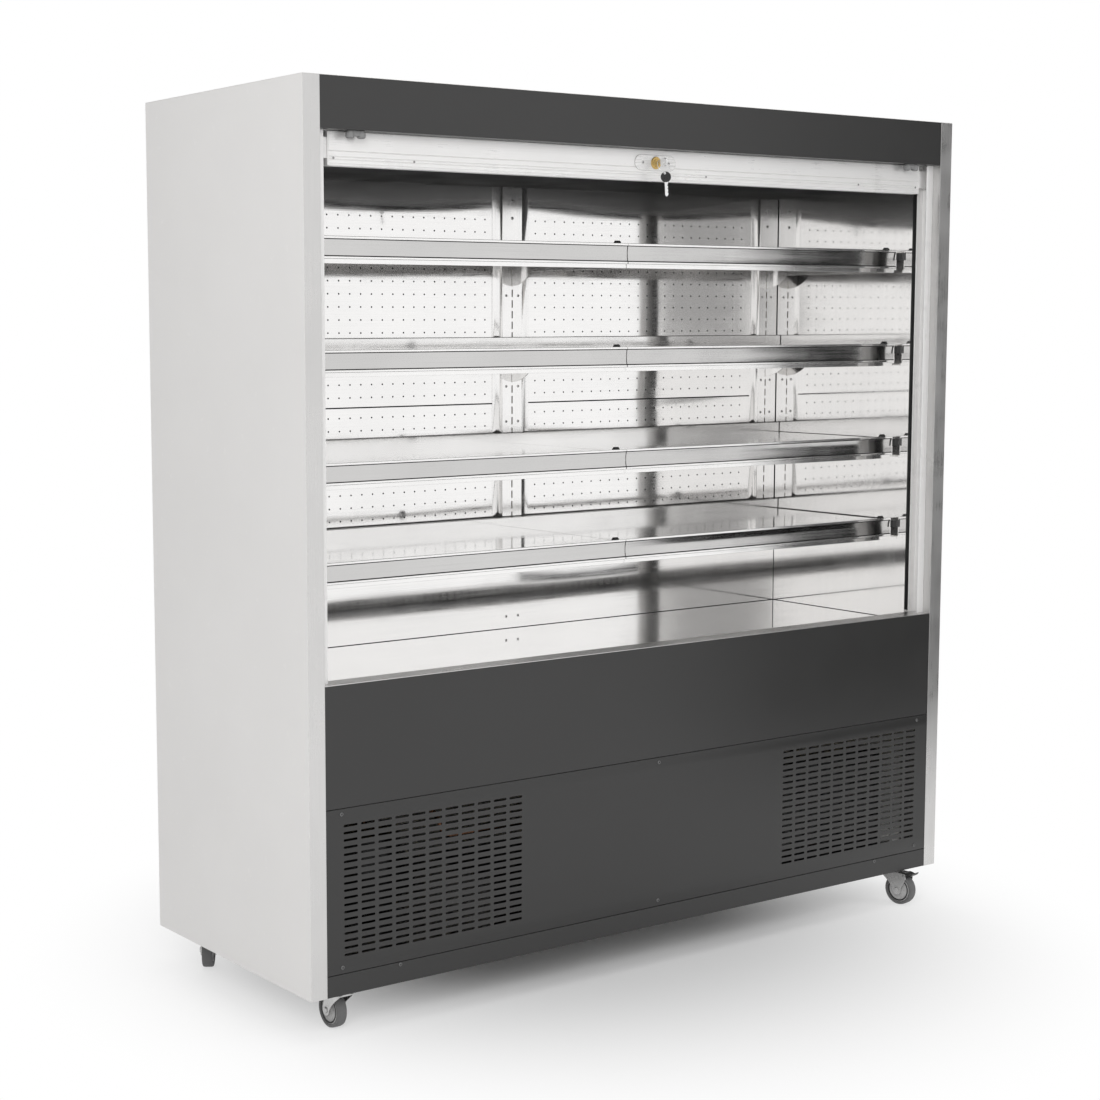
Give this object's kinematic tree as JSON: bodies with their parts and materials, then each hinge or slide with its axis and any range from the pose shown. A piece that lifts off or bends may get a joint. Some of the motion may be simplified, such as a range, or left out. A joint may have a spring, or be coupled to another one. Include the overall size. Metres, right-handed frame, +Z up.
{
  "type": "open multideck display fridge",
  "caption": "Open-front refrigerated display cabinet with tiered shelves, locking roller shutter, slotted service panel and swivel casters.",
  "frame": {"origin": "on the floor, under the middle of the footprint", "axes": "+X to the right along the open front, +Y to the back, +Z up"},
  "size_m": [1.8, 0.6786, 1.887],
  "materials": {
    "outer_steel": "satin powder coat",
    "stainless": "fine horizontal brushing",
    "mirror_steel": "polished",
    "dark_panel": "matt powder coat",
    "shelf_steel": "satin",
    "strip": "satin",
    "shutter_metal": "silver coat",
    "seal": "black seal strip",
    "rubber": "grey rubber",
    "zinc": "zinc plated",
    "galvanized": "galvanized",
    "brass": "turned brass",
    "chrome": "nickel plated",
    "black_plastic": "moulded black",
    "foam": "rigid foam",
    "copper": "copper tube",
    "black_paint": "gloss black",
    "fin_aluminium": "plain fins",
    "grey_box": "light grey"
  },
  "bodies": {
    "cabinet": {"air_outlet": "grey_box", "back_panels": "mirror_steel", "base_frame": "galvanized", "base_pan": "galvanized", "cabinet_screws": "zinc", "canopy_fascia": "dark_panel", "caster_plates": "zinc", "ceiling_panel": "stainless", "compressor": "black_paint", "condenser": "fin_aluminium", "condenser_shroud": "galvanized", "copper_lines": "copper", "deck_tray": "mirror_steel", "drip_tray": "galvanized", "electrical_box": "grey_box", "evaporator": "fin_aluminium", "fan_plate": "galvanized", "front_sill": "stainless", "insulation_foam": "foam", "kick_plate": "dark_panel", "lower_front_panel": "dark_panel", "rear_panel": "outer_steel", "rear_service_panel": "outer_steel", "return_air_grille": "stainless", "roof_panel": "outer_steel", "service_panel": "dark_panel", "shelf_1": "shelf_steel", "shelf_2": "shelf_steel", "shelf_3": "shelf_steel", "shelf_4": "shelf_steel", "shelf_brackets": "shelf_steel", "shutter_curtain": "shutter_metal", "shutter_guides": "shutter_metal", "shutter_housing": "galvanized", "shutter_stops": "rubber", "side_liners": "mirror_steel", "side_panels": "outer_steel", "side_seals": "seal", "side_trims": "stainless", "ticket_strips": "strip", "uprights": "shelf_steel"},
    "shutter": {"shutter_rail": "shutter_metal", "lock_plate": "chrome", "lock_barrel": "brass"},
    "shutter_drum": {"shutter_roller": "shutter_metal"},
    "key": {"lock_key": "chrome"},
    "bolt": {"lock_bolt": "zinc"},
    "hanging_key": {"spare_key": "black_plastic"},
    "fan_left": {"evaporator_fan_left": "black_plastic"},
    "fan_right": {"evaporator_fan_right": "black_plastic"},
    "fan_rear": {"condenser_fan": "black_plastic"},
    "pedal": {"brake_pedal": "black_plastic"},
    "swivel_front_left": {"caster_fork_front_left": "zinc"},
    "wheel_front_left": {"caster_wheel_front_left": "rubber"},
    "swivel_front_right": {"caster_fork_front_right": "zinc"},
    "wheel_front_right": {"caster_wheel_front_right": "rubber"},
    "swivel_rear_left": {"caster_fork_rear_left": "zinc"},
    "wheel_rear_left": {"caster_wheel_rear_left": "rubber"},
    "swivel_rear_right": {"caster_fork_rear_right": "zinc"},
    "wheel_rear_right": {"caster_wheel_rear_right": "rubber"}
  },
  "joints": [
    {"name": "shutter_slide", "type": "slide", "parent": "cabinet", "child": "shutter", "axis": [0, 0, -1], "range_m": [0, 1], "deforming": ["shutter_curtain"]},
    {"name": "drum_turn", "type": "hinge", "parent": "cabinet", "child": "shutter_drum", "pos_m": [0, -0.22685, 1.832], "axis": [1, 0, 0], "range_deg": [0, 1230]},
    {"name": "key_turn", "type": "hinge", "parent": "shutter", "child": "key", "pos_m": [0, -0.309, 1.7585], "axis": [0, 1, 0], "range_deg": [0, 90]},
    {"name": "bolt_slide", "type": "slide", "parent": "shutter", "child": "bolt", "axis": [0, 0, -1], "range_m": [0, 0.012]},
    {"name": "spare_key_swing", "type": "hinge", "parent": "shutter", "child": "hanging_key", "pos_m": [0, -0.309, 1.7585], "axis": [0, 1, 0], "range_deg": [-40, 40]},
    {"name": "evaporator_fan_left_spin", "type": "hinge", "parent": "cabinet", "child": "fan_left", "pos_m": [-0.36, -0.1415, 0.636], "axis": [0, 1, 0], "continuous": true},
    {"name": "evaporator_fan_right_spin", "type": "hinge", "parent": "cabinet", "child": "fan_right", "pos_m": [0.36, -0.1415, 0.636], "axis": [0, 1, 0], "continuous": true},
    {"name": "condenser_fan_spin", "type": "hinge", "parent": "cabinet", "child": "fan_rear", "pos_m": [0.6, -0.1515, 0.2562], "axis": [0, 1, 0], "continuous": true},
    {"name": "caster_front_left_swivel", "type": "hinge", "parent": "cabinet", "child": "swivel_front_left", "pos_m": [-0.802, -0.2615, 0.0797], "axis": [0, 0, 1], "continuous": true},
    {"name": "caster_front_left_roll", "type": "hinge", "parent": "swivel_front_left", "child": "wheel_front_left", "pos_m": [-0.802, -0.2335, 0.0375], "axis": [-1, 0, 0], "continuous": true},
    {"name": "caster_front_right_swivel", "type": "hinge", "parent": "cabinet", "child": "swivel_front_right", "pos_m": [0.802, -0.2615, 0.0797], "axis": [0, 0, 1], "continuous": true},
    {"name": "caster_front_right_roll", "type": "hinge", "parent": "swivel_front_right", "child": "wheel_front_right", "pos_m": [0.8059, -0.28923, 0.0375], "axis": [0.9903, 0.1392, 0], "continuous": true},
    {"name": "caster_rear_left_swivel", "type": "hinge", "parent": "cabinet", "child": "swivel_rear_left", "pos_m": [-0.802, 0.2815, 0.0797], "axis": [0, 0, 1], "continuous": true},
    {"name": "caster_rear_left_roll", "type": "hinge", "parent": "swivel_rear_left", "child": "wheel_rear_left", "pos_m": [-0.81806, 0.25856, 0.0375], "axis": [0.8192, -0.5736, 0], "continuous": true},
    {"name": "caster_rear_right_swivel", "type": "hinge", "parent": "cabinet", "child": "swivel_rear_right", "pos_m": [0.802, 0.2815, 0.0797], "axis": [0, 0, 1], "continuous": true},
    {"name": "caster_rear_right_roll", "type": "hinge", "parent": "swivel_rear_right", "child": "wheel_rear_right", "pos_m": [0.79242, 0.30781, 0.0375], "axis": [-0.9397, -0.342, 0], "continuous": true},
    {"name": "brake_pedal_press", "type": "hinge", "parent": "swivel_front_right", "child": "pedal", "pos_m": [0.8084, -0.30705, 0.076], "axis": [0.9903, 0.1392, 0], "range_deg": [0, 12]}
  ],
  "couplings": [
    {"joint": "drum_turn", "follows": "shutter_slide", "rad_per_m": 21.436},
    {"joint": "key_turn", "follows": "bolt_slide", "rad_per_m": 130.9}
  ]
}
